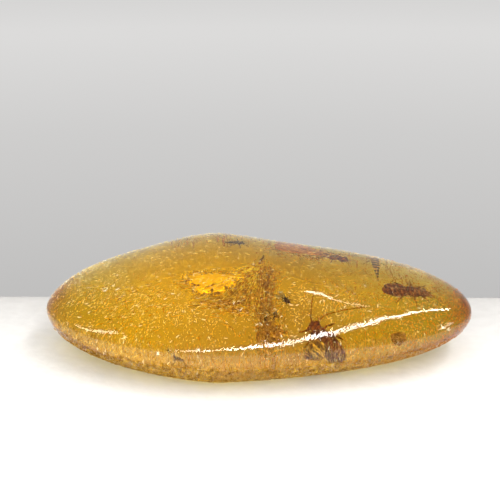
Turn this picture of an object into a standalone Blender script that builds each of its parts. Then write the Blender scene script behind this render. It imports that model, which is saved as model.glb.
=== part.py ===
"""A polished pebble of copal with insects and plant crumbs sealed in it.

X runs along the pebble, +Y to its back and +Z up. The origin is on the surface that the pebble
rests on, under the middle of its length. All sizes are in metres.
"""

from math import cos, exp, pi, radians, sin, tan

import bmesh
import bpy
from mathutils import Matrix, Vector

MM = 0.001

# The pebble: an egg-shaped body, widest left of its middle, with a flat worn on its underside.
HALF_LEFT = 30.75 * MM
HALF_RIGHT = 44.25 * MM
WIDEST_X = -6.75 * MM
HALF_WIDTH = 22.75 * MM
GIRDLE_Z = 7.75 * MM
CROWN_ABOVE = 9.75 * MM
BASE_BELOW = 9.4 * MM
# How its ends close, where 1 is an oval and more is sharper, and how far its flanks fall short of that.
LEFT_TAPER = 1.17
RIGHT_TAPER = 1.03
FLANK_HOLLOW = 0.037
BACK_RISE = 0.05
RIGHT_RISE = -0.01
CROWN_X = -9.5 * MM
CROWN_REACH = 10.0 * MM
CROWN_HEIGHT = 1.35 * MM
AROUND = 40
ALONG = 28
# The parting between its halves dips to the front, and the sealed things lie along it.
PARTING_Z = 9.2 * MM
PARTING_TILT = radians(12.0)
GAP = 0.3 * MM
WELD = 1e-6
# Facets and sizes shared by the sealed things, in millimetres and degrees.
BALL_SIDES = 8
BALL_RINGS = 5
WING_SIDES = 12
WING_THICKNESS = 0.12
SHRED_SIDES = 16
LUMP_UNEVENNESS = 0.16
SHRED_UNEVENNESS = 0.17
SHRED_WAVES = 9.0
SHRED_CURL = 2.2
LEG_SPREAD = (42.0, 88.0, 138.0)


def clear_scene():
    for obj in list(bpy.data.objects):
        bpy.data.objects.remove(obj)


def material(name, colour, roughness, metallic=0.0):
    made = bpy.data.materials.new(name)
    made.use_nodes = True
    shader = made.node_tree.nodes["Principled BSDF"]
    shader.inputs["Base Color"].default_value = (*colour, 1.0)
    shader.inputs["Roughness"].default_value = roughness
    shader.inputs["Metallic"].default_value = metallic
    return made


def pebble_point(unit):
    """The place on the pebble's surface of a point on a unit sphere."""
    along, across, up = unit
    half_length, taper = (HALF_RIGHT, RIGHT_TAPER) if along > 0 else (HALF_LEFT, LEFT_TAPER)
    x = WIDEST_X + along * half_length
    narrowing = max(0.0, 1.0 - along * along) ** ((taper - 1.0) / 2.0)
    narrowing *= 1.0 - FLANK_HOLLOW * sin(pi * abs(along))
    y = across * narrowing * HALF_WIDTH
    z = up * narrowing * (CROWN_ABOVE if up > 0 else BASE_BELOW)
    hump = CROWN_HEIGHT * exp(-(((x - CROWN_X) / CROWN_REACH) ** 2)) * max(0.0, up) * narrowing
    z += GIRDLE_Z + BACK_RISE * y + RIGHT_RISE * max(0.0, x) + hump
    return Vector((x, y, z))


def clipped(mesh, at, outward):
    """Cuts off what lies beyond a plane and closes the cut with one flat face."""
    everything = mesh.verts[:] + mesh.edges[:] + mesh.faces[:]
    cut = bmesh.ops.bisect_plane(mesh, geom=everything, plane_co=at, plane_no=outward, clear_outer=True)
    rim = [part for part in cut["geom_cut"] if isinstance(part, bmesh.types.BMEdge)]
    bmesh.ops.contextual_create(mesh, geom=rim)


def copal_half(name, side, collection, finish):
    """One side of the parting: side is 1 for the upper half and -1 for the lower."""
    mesh = bmesh.new()
    bmesh.ops.create_uvsphere(mesh, u_segments=AROUND, v_segments=ALONG, radius=1.0,
                              matrix=Matrix.Rotation(pi / 2, 4, "Y"))
    for vert in mesh.verts:
        vert.co = pebble_point(vert.co.normalized())
    clipped(mesh, Vector((0, 0, 0)), Vector((0, 0, -1)))
    normal = parting_normal()
    clipped(mesh, Vector((0, 0, PARTING_Z)) + normal * side * GAP / 2, normal * -side)
    return solid(name, mesh, collection, finish)


def parting_normal():
    return Vector((0, -sin(PARTING_TILT), cos(PARTING_TILT)))


def parting_height(y):
    return PARTING_Z + tan(PARTING_TILT) * y


def solid(name, mesh, collection, finish=None):
    """An object of this mesh, which is used up, with its faces turned outwards."""
    bmesh.ops.recalc_face_normals(mesh, faces=mesh.faces)
    data = bpy.data.meshes.new(name)
    mesh.to_mesh(data)
    mesh.free()
    made = bpy.data.objects.new(name, data)
    collection.objects.link(made)
    if finish:
        data.materials.append(finish)
        data.shade_smooth()
    return made


def guide(made):
    made.hide_render = True
    made.display_type = "WIRE"
    return made


# What is sealed in the copal is written in millimetres along its own axes: +X to its head, +Y to
# its left and +Z up. Each shape can be grown by a margin, which makes the pocket that holds it.


def add_ball(mesh, ball, margin):
    x, y, z, length, width, height = ball
    size = Matrix.Diagonal((length + margin, width + margin, height + margin, 1.0))
    bmesh.ops.create_uvsphere(mesh, u_segments=BALL_SIDES, v_segments=BALL_RINGS, radius=1.0,
                              matrix=Matrix.Translation((x, y, z)) @ size)


def add_wing(mesh, wing, margin):
    """A thin blade, narrow at its root, with its heading in degrees from the insect's +X."""
    x, y, z, heading, length, width = wing
    half = length / 2
    made = bmesh.ops.create_cone(mesh, cap_ends=True, segments=WING_SIDES, radius1=1.0, radius2=1.0,
                                 depth=WING_THICKNESS + 2 * margin)
    for vert in made["verts"]:
        from_root = (vert.co.x + 1) / 2
        vert.co.y *= (0.3 + 0.7 * from_root) * (width / 2) + margin
        vert.co.x = vert.co.x * (half + margin) + half
    turned = Matrix.Translation((x, y, z)) @ Matrix.Rotation(radians(heading), 4, "Z")
    bmesh.ops.transform(mesh, matrix=turned, verts=made["verts"])


def add_lump(mesh, lump, margin):
    """A crumb with an uneven outline: its half sizes, and how many times its outline swells."""
    length, width, height, swells = lump
    made = bmesh.ops.create_icosphere(mesh, subdivisions=2, radius=1.0)
    for vert in made["verts"]:
        x, y, z = vert.co
        uneven = 1 + LUMP_UNEVENNESS * sin(swells * x + 2 * y) * cos(swells * y - z)
        vert.co = Vector((x * (length * uneven + margin), y * (width * uneven + margin),
                          z * (height * uneven + margin)))


def add_shred(mesh, shred, margin):
    """A thin torn scrap with a wavy edge, bent along its length."""
    length, width, thickness, bend = shred
    made = bmesh.ops.create_cone(mesh, cap_ends=True, cap_tris=True, segments=SHRED_SIDES,
                                 radius1=1.0, radius2=1.0, depth=thickness + 2 * margin)
    for vert in made["verts"]:
        x, y, z = vert.co
        torn = 1 + SHRED_UNEVENNESS * sin(SHRED_WAVES * x + 4 * y)
        vert.co = Vector((x * (length * torn + margin), y * (width * torn + margin),
                          z + bend * sin(SHRED_CURL * x)))


def limbs_mesh(limbs, margin):
    """Tubes through each limb's points, which are (x, y, z, radius)."""
    curve = bpy.data.curves.new("limbs", "CURVE")
    curve.dimensions = "3D"
    curve.fill_mode = "FULL"
    curve.bevel_depth = 1.0
    curve.bevel_resolution = 0
    curve.use_fill_caps = True
    for limb in limbs:
        tip, before = Vector(limb[-1][:3]), Vector(limb[-2][:3])
        points = limb[:-1] + [(*(tip + (tip - before).normalized() * margin), limb[-1][3])]
        spline = curve.splines.new("POLY")
        spline.points.add(len(points) - 1)
        for point, (x, y, z, radius) in zip(spline.points, points):
            point.co = (x, y, z, 1.0)
            point.radius = radius + margin
    obj = bpy.data.objects.new("limbs", curve)
    bpy.context.scene.collection.objects.link(obj)
    data = bpy.data.meshes.new_from_object(obj.evaluated_get(bpy.context.evaluated_depsgraph_get()))
    bpy.data.objects.remove(obj)
    return data


def pieces_of(shape):
    makers = (("lumps", add_lump), ("shreds", add_shred), ("balls", add_ball), ("wings", add_wing))
    return [(make, piece) for kind, make in makers for piece in shape.get(kind, [])]


def shells(pieces, limbs, margin):
    """The pieces and limbs as closed shells that pass through each other."""
    mesh = bmesh.new()
    for make, piece in pieces:
        make(mesh, piece, margin)
    if limbs:
        mesh.from_mesh(limbs_mesh(limbs, margin))
        bmesh.ops.remove_doubles(mesh, verts=mesh.verts, dist=WELD)
    return mesh


def sealed(name, shape, placing, collection, shapes, finish):
    """The shape's first piece, joined to the rest of it by a Boolean union."""
    pieces, limbs = pieces_of(shape), shape.get("limbs", [])
    core = shells(pieces[:1], [], 0.0)
    bmesh.ops.transform(core, matrix=placing, verts=core.verts)
    made = solid(name, core, collection, finish)
    if pieces[1:] or limbs:
        rest = shells(pieces[1:], limbs, 0.0)
        bmesh.ops.transform(rest, matrix=placing, verts=rest.verts)
        union = made.modifiers.new("rest", "BOOLEAN")
        union.operation = "UNION"
        union.solver = "EXACT"
        union.use_self = True
        union.object = guide(solid(name + "_rest", rest, shapes))


def pocket(name, shape, placing, collection):
    """A hollow with room for the whole shape, drawn tight round it."""
    mesh = shells(pieces_of(shape), shape.get("limbs", []), GAP / MM)
    loose_faces = mesh.faces[:]
    hull = bmesh.ops.convex_hull(mesh, input=mesh.verts[:])
    on_hull = set(hull["geom"])
    bmesh.ops.delete(mesh, geom=[face for face in loose_faces if face not in on_hull], context="FACES")
    bmesh.ops.delete(mesh, geom=[vert for vert in mesh.verts if vert not in on_hull], context="VERTS")
    bmesh.ops.transform(mesh, matrix=placing, verts=mesh.verts)
    guide(solid(name, mesh, collection))


def seal_in(name, shape, x, y, heading, finish, groups):
    """Puts a shape on the parting at (x, y) in millimetres, and its pocket round it."""
    parts, pockets, shapes = groups
    spot = Vector((x * MM, y * MM, parting_height(y * MM)))
    turned = Matrix.Rotation(PARTING_TILT, 4, "X") @ Matrix.Rotation(radians(heading), 4, "Z")
    placing = Matrix.Translation(spot) @ turned @ Matrix.Scale(MM, 4)
    sealed(name, shape, placing, parts, shapes, finish)
    pocket(name + "_pocket", shape, placing, pockets)


def six_legs(hip_x, step, width, reach, radius, feet=True):
    """Three pairs of legs, each a thigh, a shin and a foot, spread from front to back."""
    joints = ((-0.05, 0.0, 1.3), (0.38, 0.16, 1.2), (0.72, 0.0, 0.9), (1.0, -0.08, 0.6))
    legs = []
    for side in (1, -1):
        for pair, spread in enumerate(LEG_SPREAD):
            along = Vector((cos(radians(spread)), side * sin(radians(spread)), 0.0))
            hip = Vector((hip_x - pair * step, side * width * 0.5, 0.0))
            long = reach * (0.85 + 0.15 * pair)
            leg = [(*(hip + along * out * long + Vector((0, 0, up * long))), radius * share)
                   for out, up, share in joints]
            legs.append(leg if feet else leg[:2] + leg[3:])
    return legs


def feelers(head_x, length, spread, radius):
    """A pair of bent feelers from the front of the head."""
    made = []
    for side in (1, -1):
        turn = radians(spread * side)
        made.append([(head_x + cos(turn) * share * length, sin(turn) * share * length * (0.6 + 0.6 * share),
                      0.1 * share, radius * (1.3 - 0.6 * share)) for share in (0.0, 0.4, 0.75, 1.0)])
    return made


def long_horned_insect():
    """A barklouse with a broad head and feelers far longer than its body."""
    steep = [(1.9, 0, 0.1, 0.1), (3.6, 0.2, 0.3, 0.09), (6.4, -1.6, 0.2, 0.08), (9.2, -4.4, 0, 0.07)]
    level = [(1.9, -0.3, 0.1, 0.1), (3.2, -2.8, 0.3, 0.09), (3.4, -6, 0.1, 0.08), (2.6, -10.2, 0, 0.07)]
    return {
        "balls": [(-2.2, 0, 0, 2.3, 1.35, 1.15), (0.2, 0, 0.1, 1.25, 1.1, 1), (1.7, 0, 0, 0.95, 1.05, 0.9)],
        "limbs": six_legs(1.0, 0.7, 1.0, 3.0, 0.16) + [steep, level],
    }


def banded_fly():
    """A slender fly whose ringed body narrows to a point."""
    rings = [(0.9 - 1.05 * n, 0, 0, 0.8, 0.92 - 0.14 * n, 0.8 - 0.12 * n) for n in range(6)]
    sting = [(-4.2, 0, 0, 0.22), (-5.6, 0, 0, 0.1)]
    return {
        "balls": rings + [(2.2, 0, 0.1, 1.0, 0.85, 0.8), (3.4, 0, 0, 0.6, 0.7, 0.6)],
        "limbs": six_legs(2.8, 0.5, 0.8, 2.6, 0.12) + feelers(3.6, 1.5, 25, 0.09) + [sting],
    }


def winged_termite():
    """A termite with its four long wings swept back to one side."""
    wings = [(0.6, 0.35 * n - 0.5, 0.28 * n - 0.4, heading, 12.4 - 0.4 * n, 3.1)
             for n, heading in enumerate((168.0, 177.0, 190.0, 199.0))]
    return {
        "balls": [(-2.0, 0, 0, 2.2, 1.1, 0.9), (0.6, 0, 0, 1.2, 1.0, 0.85), (2.1, 0, 0, 0.9, 0.85, 0.75)],
        "limbs": six_legs(1.5, 0.8, 0.9, 2.4, 0.14) + feelers(2.6, 1.8, 30, 0.1),
        "wings": wings,
    }


def gnat():
    """A small dark gnat with spread legs."""
    return {
        "balls": [(-0.9, 0, 0, 1.1, 0.36, 0.36), (0.35, 0, 0.05, 0.55, 0.48, 0.48),
                  (1.0, 0, 0, 0.34, 0.36, 0.34)],
        "limbs": six_legs(0.7, 0.35, 0.4, 2.0, 0.1, feet=False),
        "wings": [(0.4, 0.15, 0.2, 150.0, 2.1, 0.8), (0.4, -0.15, 0.2, 210.0, 2.1, 0.8)],
    }


def small_fly(wing_heading):
    """A stubby fly whose folded wings stand off its back by this many degrees."""
    return {
        "balls": [(-0.55, 0, 0, 0.72, 0.46, 0.42), (0.3, 0, 0.05, 0.46, 0.44, 0.44),
                  (0.85, 0, 0, 0.32, 0.4, 0.34)],
        "limbs": six_legs(0.55, 0.28, 0.4, 1.2, 0.09, feet=False),
        "wings": [(0.3, 0.15, 0.25, 180 - wing_heading, 1.9, 0.8),
                  (0.3, -0.15, 0.25, 180 + wing_heading, 1.9, 0.8)],
    }


def beetle():
    """A stout reddish beetle with a waist and bristly legs."""
    return {
        "balls": [(-2.4, 0, 0, 2.2, 1.5, 1.3), (0.5, 0, 0.1, 1.5, 1.25, 1.15), (2.4, 0, 0, 1.0, 1.0, 0.85)],
        "limbs": six_legs(1.4, 0.9, 1.2, 2.9, 0.18) + feelers(3.0, 1.7, 34, 0.12),
    }


def leg_pair():
    """Two thin legs that have come away from their insect, still joined at the hip."""
    long_leg = [(0, 0, 0, 0.2), (1.2, 0.7, 0.1, 0.17), (2.6, 0.5, 0, 0.12), (3.6, 1.0, 0, 0.09)]
    short_leg = [(0, 0, 0, 0.2), (1.0, -0.7, 0.1, 0.15), (1.5, -1.8, 0, 0.1)]
    stump = [(0, 0, 0, 0.2), (-1.4, 0.2, 0, 0.16), (-2.2, -0.4, 0, 0.1)]
    return {"balls": [(0, 0, 0, 0.36, 0.3, 0.3)], "limbs": [long_leg, short_leg, stump]}


def twig_sliver():
    """A straight sliver of wood with one swelling."""
    grain = [(-2.0, 0, 0, 0.14), (0.1, 0.06, 0, 0.2), (2.1, 0, 0, 0.12)]
    return {"balls": [(0.1, 0.05, 0, 0.45, 0.28, 0.28)], "limbs": [grain]}


def main():
    clear_scene()
    parts = bpy.data.collections.new("insect_in_copal")
    pockets = bpy.data.collections.new("pockets")
    shapes = bpy.data.collections.new("shapes")
    for collection in (parts, pockets, shapes):
        bpy.context.scene.collection.children.link(collection)
    groups = (parts, pockets, shapes)

    copal = material("copal", (0.78, 0.47, 0.07), 0.08)
    cuticle = material("dark_cuticle", (0.05, 0.03, 0.02), 0.45)
    red_cuticle = material("red_cuticle", (0.25, 0.07, 0.03), 0.4)
    bark = material("bark", (0.16, 0.06, 0.03), 0.8)
    leaf = material("dry_leaf", (0.3, 0.15, 0.05), 0.75)

    seal_in("long_horned_insect", long_horned_insect(), 9.9, -13.8, 132, red_cuticle, groups)
    seal_in("banded_fly", banded_fly(), 20.4, 5.5, 88, cuticle, groups)
    seal_in("winged_termite", winged_termite(), 12.6, 7.6, -26, red_cuticle, groups)
    seal_in("gnat", gnat(), -5.0, 9.2, 8, cuticle, groups)
    seal_in("small_fly_right", small_fly(18), 3.7, -6.0, -40, cuticle, groups)
    seal_in("small_fly_left", small_fly(38), 1.5, -9.6, 24, cuticle, groups)
    seal_in("beetle", beetle(), 25.2, -1.8, 4, red_cuticle, groups)
    seal_in("leg_pair", leg_pair(), -13.2, -17.0, -60, cuticle, groups)
    seal_in("twig_sliver", twig_sliver(), -0.6, 3.4, 72, cuticle, groups)
    seal_in("frass_pellet", {"lumps": [(1.2, 0.7, 0.65, 5.0)]}, 22.7, -12.2, 12, bark, groups)
    seal_in("bark_flake_back", {"lumps": [(1.0, 1.9, 0.8, 4.0)]}, 0.2, -2.6, 10, bark, groups)
    seal_in("bark_flake_front", {"lumps": [(2.3, 1.6, 0.7, 6.0)]}, 1.6, -12.8, -16, bark, groups)
    seal_in("leaf_shred", {"shreds": [(3.9, 2.0, 0.3, 0.25)]}, -7.0, -5.0, 4, leaf, groups)

    for name, side in (("copal_upper", 1), ("copal_lower", -1)):
        half = copal_half(name, side, parts, copal)
        cut = half.modifiers.new("pockets", "BOOLEAN")
        cut.operation = "DIFFERENCE"
        cut.solver = "EXACT"
        cut.operand_type = "COLLECTION"
        cut.collection = pockets


main()
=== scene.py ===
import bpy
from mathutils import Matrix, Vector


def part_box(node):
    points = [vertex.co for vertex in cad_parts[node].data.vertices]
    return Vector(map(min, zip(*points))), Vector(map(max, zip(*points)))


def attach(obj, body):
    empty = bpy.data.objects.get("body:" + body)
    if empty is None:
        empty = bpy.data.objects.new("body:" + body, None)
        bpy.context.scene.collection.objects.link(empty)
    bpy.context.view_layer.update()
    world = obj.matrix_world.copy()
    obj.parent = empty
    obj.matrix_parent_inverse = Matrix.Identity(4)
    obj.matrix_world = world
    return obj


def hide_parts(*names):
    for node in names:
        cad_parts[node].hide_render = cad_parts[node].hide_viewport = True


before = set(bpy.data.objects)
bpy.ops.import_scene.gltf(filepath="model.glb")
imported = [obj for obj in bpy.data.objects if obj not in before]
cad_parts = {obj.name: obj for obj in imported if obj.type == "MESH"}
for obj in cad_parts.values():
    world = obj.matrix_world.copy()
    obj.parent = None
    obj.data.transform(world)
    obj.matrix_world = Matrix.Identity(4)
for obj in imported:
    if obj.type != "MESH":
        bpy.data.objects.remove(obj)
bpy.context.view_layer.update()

from math import atan, cos, exp, pi, radians, sin, tan
from random import Random

import bmesh
import bpy
from mathutils import Euler, Matrix, Vector, noise

mm = 0.001
scene = bpy.context.scene
print("frame loaded:", len(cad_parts), "nodes")


# insects and crumbs are drawn in millimetres, head along +X, then seated in the frame
bed = {"height": 9.2, "lie": 12.0}  # the sloped layer in the copal that the insects lie in


def placed(name, data):
    thing = bpy.data.objects.new(name, data)
    scene.collection.objects.link(thing)
    return thing


def meshOf(bm, name):
    mesh = bpy.data.meshes.new(name)
    bm.to_mesh(mesh)
    bm.free()
    return mesh


def bedHeight(y):
    return bed["height"] + tan(radians(bed["lie"])) * y


def addEgg(bm, place, size, sides=18, rings=12):
    # a swelling with its poles along the body
    matrix = Matrix.Translation(place) @ Matrix.Diagonal((*size, 1)) @ Matrix.Rotation(pi / 2, 4, "Y")
    made = bmesh.ops.create_uvsphere(bm, u_segments=sides, v_segments=rings, radius=1.0, matrix=matrix)
    return made["verts"]


def addThreads(bm, routes, roundness=1):
    # threads with closed ends through points given as (x, y, z, radius), four-sided at roundness 0
    curve = bpy.data.curves.new("threads", "CURVE")
    curve.dimensions, curve.fill_mode = "3D", "FULL"
    curve.bevel_depth, curve.bevel_resolution, curve.use_fill_caps = 1.0, roundness, True
    for route in routes:
        spline = curve.splines.new("POLY")
        spline.points.add(len(route) - 1)
        for point, (x, y, z, radius) in zip(spline.points, route):
            point.co = (x, y, z, 1)
            point.radius = radius
    strung = placed("threads", curve)
    mesh = bpy.data.meshes.new_from_object(strung.evaluated_get(bpy.context.evaluated_depsgraph_get()))
    bpy.data.objects.remove(strung)
    bm.from_mesh(mesh)
    bpy.data.meshes.remove(mesh)


def addLumps(bm, spots, rough, chance):
    # small uneven lumps at (place, size), in batches because operators slow down as a mesh grows
    batchSize = 100
    for start in range(0, len(spots), batchSize):
        batch = bmesh.new()
        for place, size in spots[start:start + batchSize]:
            turn = Euler([chance.uniform(0, 6) for _ in range(3)]).to_matrix().to_4x4()
            flat = (1, chance.uniform(0.4, 0.9), chance.uniform(0.3, 0.7))
            shape = Matrix.Diagonal((*[size * share for share in flat], 1))
            matrix = Matrix.Translation(place) @ turn @ shape
            lump = bmesh.ops.create_icosphere(batch, subdivisions=1, radius=1.0, matrix=matrix)
            for vert in lump["verts"]:
                vert.co += Vector([chance.uniform(-rough, rough) * size for _ in range(3)])
        mesh = meshOf(batch, "lumps")
        bm.from_mesh(mesh)
        bpy.data.meshes.remove(mesh)


def wander(chance, start, heading, length, curl, radius, steps, drift=0.15):
    # a thread's route from (x, y, above the bed), which turns a little at each step
    x, y, above = start
    route = []
    for step in range(steps):
        thin = 1 - 0.5 * abs(2 * step / (steps - 1) - 1)
        route.append((x, y, bedHeight(y) + above, radius * thin))
        heading += chance.uniform(-curl, curl)
        x += cos(radians(heading)) * length / steps
        y += sin(radians(heading)) * length / steps
        above += chance.uniform(-drift, drift)
    return route


def bedTurn(heading):
    return Matrix.Rotation(radians(bed["lie"]), 4, "X") @ Matrix.Rotation(radians(heading), 4, "Z")


def seat(bm, node, heading, shift=(0, 0, 0)):
    # turns a shape to its heading on the bed, centred on its solid or shifted from there
    bmesh.ops.transform(bm, matrix=bedTurn(heading) @ Matrix.Scale(mm, 4), verts=bm.verts)
    low, high = [Vector([pick(vert.co[n] for vert in bm.verts) for n in range(3)]) for pick in (min, max)]
    lowCad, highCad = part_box(node)
    bmesh.ops.translate(bm, vec=(lowCad + highCad - low - high) / 2 + Vector(shift) * mm, verts=bm.verts)


def finishPiece(name, bm, materials, slotName, *nodes):
    # the mesh rides on the only body, in place of the named solids
    bmesh.ops.recalc_face_normals(bm, faces=bm.faces)
    mesh = meshOf(bm, name)
    mesh.shade_smooth()
    for material in materials:
        mesh.materials.append(material)
    piece = placed(name, mesh)
    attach(piece, "root")
    if nodes:
        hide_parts(*nodes)


def finishLoose(name, bm, material, slotName):
    # a piece that was drawn in millimetres where it lies, with no solid of its own
    bmesh.ops.scale(bm, vec=(mm, mm, mm), verts=bm.verts)
    finishPiece(name, bm, [material], slotName)


def newMaterial(name):
    material = bpy.data.materials.new(name)
    material.use_nodes = True
    tree = material.node_tree
    return material, tree, tree.nodes["Principled BSDF"]


def feed(tree, node, values):
    # each input is set to a value, or linked where the value is another node's output
    for name, value in values.items():
        if isinstance(value, bpy.types.NodeSocket):
            tree.links.new(value, node.inputs[name])
        else:
            node.inputs[name].default_value = value


def outputOf(tree, kind, output, values, **settings):
    # adds a node and returns the output that is used
    node = tree.nodes.new("ShaderNode" + kind)
    for name, value in settings.items():
        setattr(node, name, value)
    feed(tree, node, values)
    return node.outputs[output]


def coordsOf(tree, kind="Object"):
    return outputOf(tree, "TexCoord", kind, {})


def patternSpace(tree, stretch=(1, 1, 1), turn=(0, 0, 0), centre=(0, 0, 0)):
    # object coordinates in millimetres, turned and stretched
    return outputOf(tree, "Mapping", "Vector", {
        "Vector": coordsOf(tree), "Location": centre, "Rotation": turn,
        "Scale": [mm * share for share in stretch]}, vector_type="TEXTURE")


def bodySpace(tree, node, heading, stretch=(1, 1, 1)):
    # pattern space centred on a solid, with x along its length
    low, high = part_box(node)
    return patternSpace(tree, stretch, bedTurn(heading).to_euler(), (low + high) / 2)


def axisOf(tree, axis, space):
    return outputOf(tree, "SeparateXYZ", axis, {"Vector": space})


def noiseOf(tree, space, scale=1.0, detail=3.0, distortion=0.0):
    values = {"Vector": space, "Scale": scale, "Detail": detail, "Distortion": distortion}
    return outputOf(tree, "TexNoise", "Fac", values)


def rampOf(tree, value, stops):
    ramp = tree.nodes.new("ShaderNodeValToRGB")
    first, last = ramp.color_ramp.elements
    first.position, first.color = stops[0][0], (*stops[0][1], 1)
    last.position, last.color = stops[-1][0], (*stops[-1][1], 1)
    for position, colour in stops[1:-1]:
        ramp.color_ramp.elements.new(position).color = (*colour, 1)
    feed(tree, ramp, {"Fac": value})
    return ramp.outputs["Color"]


def mathOf(tree, operation, *values):
    return outputOf(tree, "Math", "Value", dict(enumerate(values)), operation=operation)


def rangeOf(tree, value, *limits):
    # runs from 0 to 1 unless four limits are given
    names = ("From Min", "From Max", "To Min", "To Max")
    return outputOf(tree, "MapRange", "Result", {"Value": value, **dict(zip(names, limits))})


def bumpOf(tree, height, distance, strength=1.0):
    values = {"Height": height, "Distance": distance * mm, "Strength": strength}
    return outputOf(tree, "Bump", "Normal", values)


def speckled(name, stops, roughness, space, scale=1.0, relief=0.02, metallic=0.0):
    # colours run along a noise, which also makes the surface uneven
    material, tree, shader = newMaterial(name)
    grain = noiseOf(tree, space(tree), scale, 5.0, 0.3)
    feed(tree, shader, {
        "Base Color": rampOf(tree, grain, stops), "Roughness": roughness, "Metallic": metallic,
        "Specular IOR Level": 0.1,  # copal around it leaves little to mirror
        "Normal": bumpOf(tree, grain, relief),
    })
    return material


def streaked(name, stops, roughness, body, stretch, relief=0.02):
    # speckled, with the speckles drawn out along a piece
    def space(tree):
        return bodySpace(tree, body["node"], body["heading"], stretch)

    return speckled(name, stops, roughness, space, 1.0, relief)


def cuticle(name, body, dark, light, pale):
    # chitin with a ringed pattern along the body, mottled, pitted and glossy
    material, tree, shader = newMaterial(name)
    space = bodySpace(tree, body["node"], body["heading"])
    scale = 0.314 / body["ringLength"]  # a wave texture's crests are 0.314 apart at scale 1
    rings = outputOf(tree, "TexWave", "Fac", {"Vector": space, "Scale": scale, "Distortion": 1.2})
    mottle = noiseOf(tree, space, 1.6, 5.0, 0.5)
    pits = noiseOf(tree, space, 9.0)
    banding = body.get("banding", 0.22)
    mottle = mathOf(tree, "MULTIPLY", mottle, 1 - banding)
    tone = mathOf(tree, "MULTIPLY_ADD", rings, banding, mottle)
    feed(tree, shader, {
        "Base Color": rampOf(tree, tone, [(0.25, dark), (0.55, light), (0.85, pale)]),
        "Roughness": rampOf(tree, pits, [(0.3, (0.25, 0.25, 0.25)), (0.7, (0.5, 0.5, 0.5))]),
        "Specular IOR Level": 0.15, "Normal": bumpOf(tree, mathOf(tree, "ADD", pits, rings), 0.03),
    })
    return material


copal = {
    "halfLeft": 30.75 * mm, "halfRight": 44.25 * mm, "widestX": -6.75 * mm, "halfWidth": 22.75 * mm,
    "girdleZ": 7.75 * mm, "crownAbove": 9.75 * mm, "baseBelow": 9.4 * mm,
    "leftTaper": 1.17, "rightTaper": 1.03, "flankHollow": 0.037, "backRise": 0.05, "rightRise": -0.01,
    "crownX": -9.5 * mm, "crownReach": 10.0 * mm, "crownHeight": 1.35 * mm,
    "footRound": 0.25 * mm, "dents": 0.05 * mm, "dentSize": 7 * mm, "segments": (224, 168),
    "ground": (2.5 * mm, 7.0 * mm, 0.62, 0.0),  # from this height to this one, rough below and polished above
    "ior": 1.54, "absorb": (0.994, 0.92, 0.0), "density": 200.0,
    "strokes": (1.3, 0.3, 0.5), "strokeTurn": 32, "crazing": (0.6, 0.6, 0.6), "waves": (6, 5, 5),
    "crownPolish": (10.0 * mm, 13.5 * mm, 1.0, 0.15),  # between these heights the relief falls from 1 to 0.15
}


def narrowingAt(along):
    # how much thinner the pebble is between its widest place at 0 and its ends at -1 and 1
    taper = copal["rightTaper" if along > 0 else "leftTaper"]
    hollow = copal["flankHollow"] * sin(pi * abs(along))
    return max(0.0, 1 - along * along) ** ((taper - 1) / 2) * (1 - hollow)


def copalPoint(unit, depth=0.0):
    # where a point of a unit sphere lies on the pebble, or this far under its skin
    along, across, up = unit
    x = copal["widestX"] + along * (copal["halfRight" if along > 0 else "halfLeft"] - depth)
    narrowing = narrowingAt(along)
    y = across * narrowing * (copal["halfWidth"] - depth)
    z = up * narrowing * ((copal["crownAbove"] if up > 0 else copal["baseBelow"]) - depth)
    hump = copal["crownHeight"] * exp(-((x - copal["crownX"]) / copal["crownReach"]) ** 2)
    z += copal["girdleZ"] + copal["backRise"] * y + copal["rightRise"] * max(0.0, x)
    return Vector((x, y, z + hump * max(0.0, up) * narrowing))


def insideCopal(place, margin):
    # whether a place in millimetres is this far under the skin or more
    x, y, z = place
    foot = 0.3
    girdle = copal["girdleZ"] / mm + copal["backRise"] * y + copal["rightRise"] * max(0, x)
    half = copal["halfRight" if x * mm > copal["widestX"] else "halfLeft"] / mm
    along = (x - copal["widestX"] / mm) / (half - margin)
    if abs(along) >= 1 or z < foot + margin:
        return False
    narrowing = narrowingAt(along)
    up = copal["crownAbove"] if z > girdle else copal["baseBelow"]
    return (along ** 2 + (y / (narrowing * (copal["halfWidth"] / mm - margin))) ** 2
            + ((z - girdle) / (narrowing * (up / mm - margin))) ** 2) < 1


def sealed(routes):
    # the threads that lie wholly inside the copal
    return [route for route in routes if all(insideCopal(Vector(point[:3]), 0.5) for point in route)]


def copalMaterial():
    material, tree, shader = newMaterial("clearCopal")
    up = axisOf(tree, "Z", coordsOf(tree))
    # fine strokes that run to the right and back, crazing, and slow waves in the polish
    rightAndBack = patternSpace(tree, copal["strokes"], (0, 0, radians(copal["strokeTurn"])))
    strokes = noiseOf(tree, rightAndBack, 1.0, 1.0, 0.4)
    crazing = noiseOf(tree, patternSpace(tree, copal["crazing"]), 1.0, 1.0, 0.8)
    waves = noiseOf(tree, patternSpace(tree, copal["waves"]), 1.0, 1.0)
    height = mathOf(tree, "MULTIPLY_ADD", strokes, 0.5, crazing)
    height = mathOf(tree, "MULTIPLY", height, rangeOf(tree, up, *copal["crownPolish"]))
    height = mathOf(tree, "MULTIPLY_ADD", waves, 1.5, height)
    feed(tree, shader, {
        "Base Color": (1.0, 0.98, 0.85, 1), "Transmission Weight": 1.0, "IOR": copal["ior"],
        "Roughness": rangeOf(tree, up, *copal["ground"]), "Normal": bumpOf(tree, height, 0.05, 0.3),
    })
    absorb = {"Color": (*copal["absorb"], 1), "Density": copal["density"]}
    volume = outputOf(tree, "VolumeAbsorption", "Volume", absorb)
    feed(tree, tree.nodes["Material Output"], {"Volume": volume})
    return material


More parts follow.
